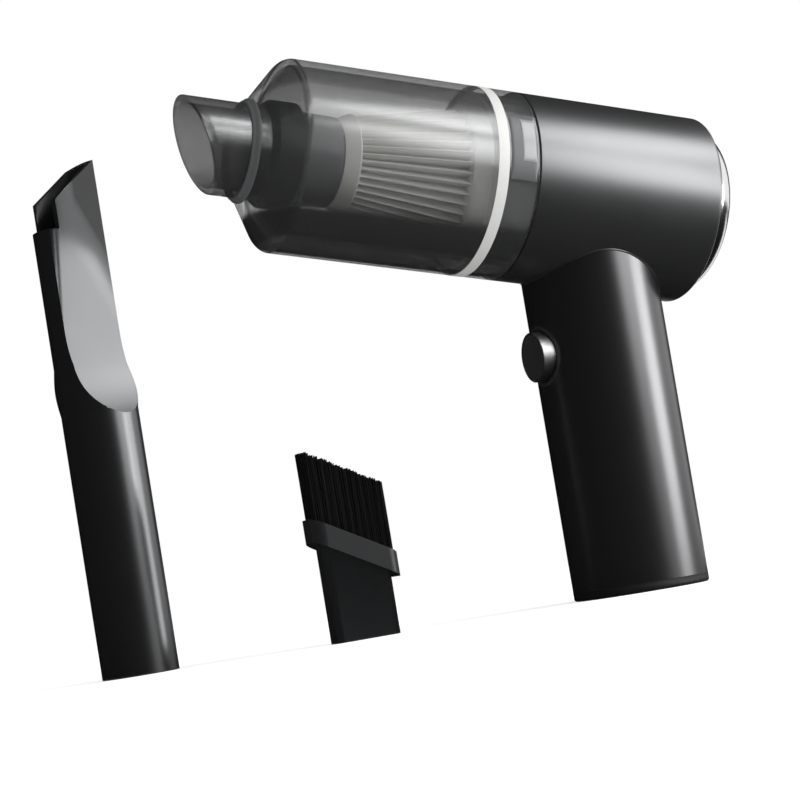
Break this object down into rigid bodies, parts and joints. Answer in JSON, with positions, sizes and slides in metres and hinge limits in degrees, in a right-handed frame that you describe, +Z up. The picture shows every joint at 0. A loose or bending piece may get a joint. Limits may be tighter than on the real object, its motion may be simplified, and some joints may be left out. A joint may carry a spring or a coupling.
{
  "type": "cordless hand-held vacuum cleaner",
  "caption": "Pistol-shaped cordless hand vacuum with clear dust cup, pleated filter and slanted nozzle, standing on its handle, with crevice tool and brush tool.",
  "frame": {"origin": "centre of the flat foot of the handle, on the surface that the object stands on", "axes": "+Z up along the handle, nozzle towards -X, +Y to the user's right-hand side when the nozzle points away"},
  "size_m": [0.2273, 0.1005, 0.1916],
  "materials": {
    "shell_satin": "satin metallic gunmetal",
    "handle_gloss": "gloss black",
    "dark_plastic": "fine matt",
    "clear_smoke": "clear smoked plastic",
    "pipe_smoke": "dark smoked plastic",
    "filter_white": "white",
    "filter_paper": "pleated filter paper",
    "foam": "open foam",
    "rubber_dark": "soft rubber",
    "bright_trim": "bright satin metal",
    "steel": "bare",
    "fan_alloy": "cast alloy",
    "cell_jacket": "cell in a shrink jacket",
    "board": "circuit board",
    "tool_black": "satin moulded black",
    "bristle": "nylon strands"
  },
  "bodies": {
    "main_unit": {"barrel_shell": "shell_satin", "neck_collar": "dark_plastic", "rear_trim_ring": "bright_trim", "exhaust_grille": "dark_plastic", "exhaust_foam": "foam", "handle_shell": "handle_gloss", "handle_foot": "dark_plastic", "foot_screws": "steel", "button_bezel": "dark_plastic", "button_spring": "steel", "charge_socket": "steel", "motor_can": "steel", "motor_mount": "dark_plastic", "motor_gasket": "rubber_dark", "fan_housing": "dark_plastic", "cell_left": "cell_jacket", "cell_right": "cell_jacket", "battery_holder": "filter_white", "control_board": "board", "tact_switch": "steel"},
    "fan_rotor": {"motor_shaft": "steel", "impeller": "fan_alloy"},
    "filter_unit": {"filter_ring": "filter_white", "filter_pleats": "filter_paper", "filter_cage": "filter_white", "filter_seal": "rubber_dark"},
    "dust_cup": {"cup_shell": "clear_smoke", "nozzle_pipe": "pipe_smoke", "nozzle_collar": "dark_plastic", "inlet_duct": "dark_plastic"},
    "button": {"power_button": "dark_plastic", "button_trim": "bright_trim"},
    "crevice": {"crevice_tool": "tool_black"},
    "brush": {"brush_holder": "tool_black", "brush_bristles": "bristle"}
  },
  "joints": [
    {"name": "cup_pull", "type": "slide", "parent": "main_unit", "child": "filter_unit", "axis": [-0.9755, 0, 0.2198], "range_m": [0, 0.06]},
    {"name": "cup_twist", "type": "hinge", "parent": "filter_unit", "child": "dust_cup", "pos_m": [-0.05853, 0, 0.14979], "axis": [-0.9755, 0, 0.2198], "range_deg": [0, 15]},
    {"name": "fan_spin", "type": "hinge", "parent": "main_unit", "child": "fan_rotor", "pos_m": [0, 0, 0.1366], "axis": [-0.9755, 0, 0.2198], "continuous": true},
    {"name": "button_press", "type": "slide", "parent": "main_unit", "child": "button", "axis": [1, 0, 0], "range_m": [0, 0.0015], "stiffness_N_per_m": 600, "springref_m": -0.0006},
    {"name": "crevice_lift", "type": "slide", "parent": "main_unit", "child": "crevice", "axis": [0, 0, 1], "range_m": [0, 0.15]},
    {"name": "brush_lift", "type": "slide", "parent": "main_unit", "child": "brush", "axis": [0, 0, 1], "range_m": [0, 0.05]}
  ]
}
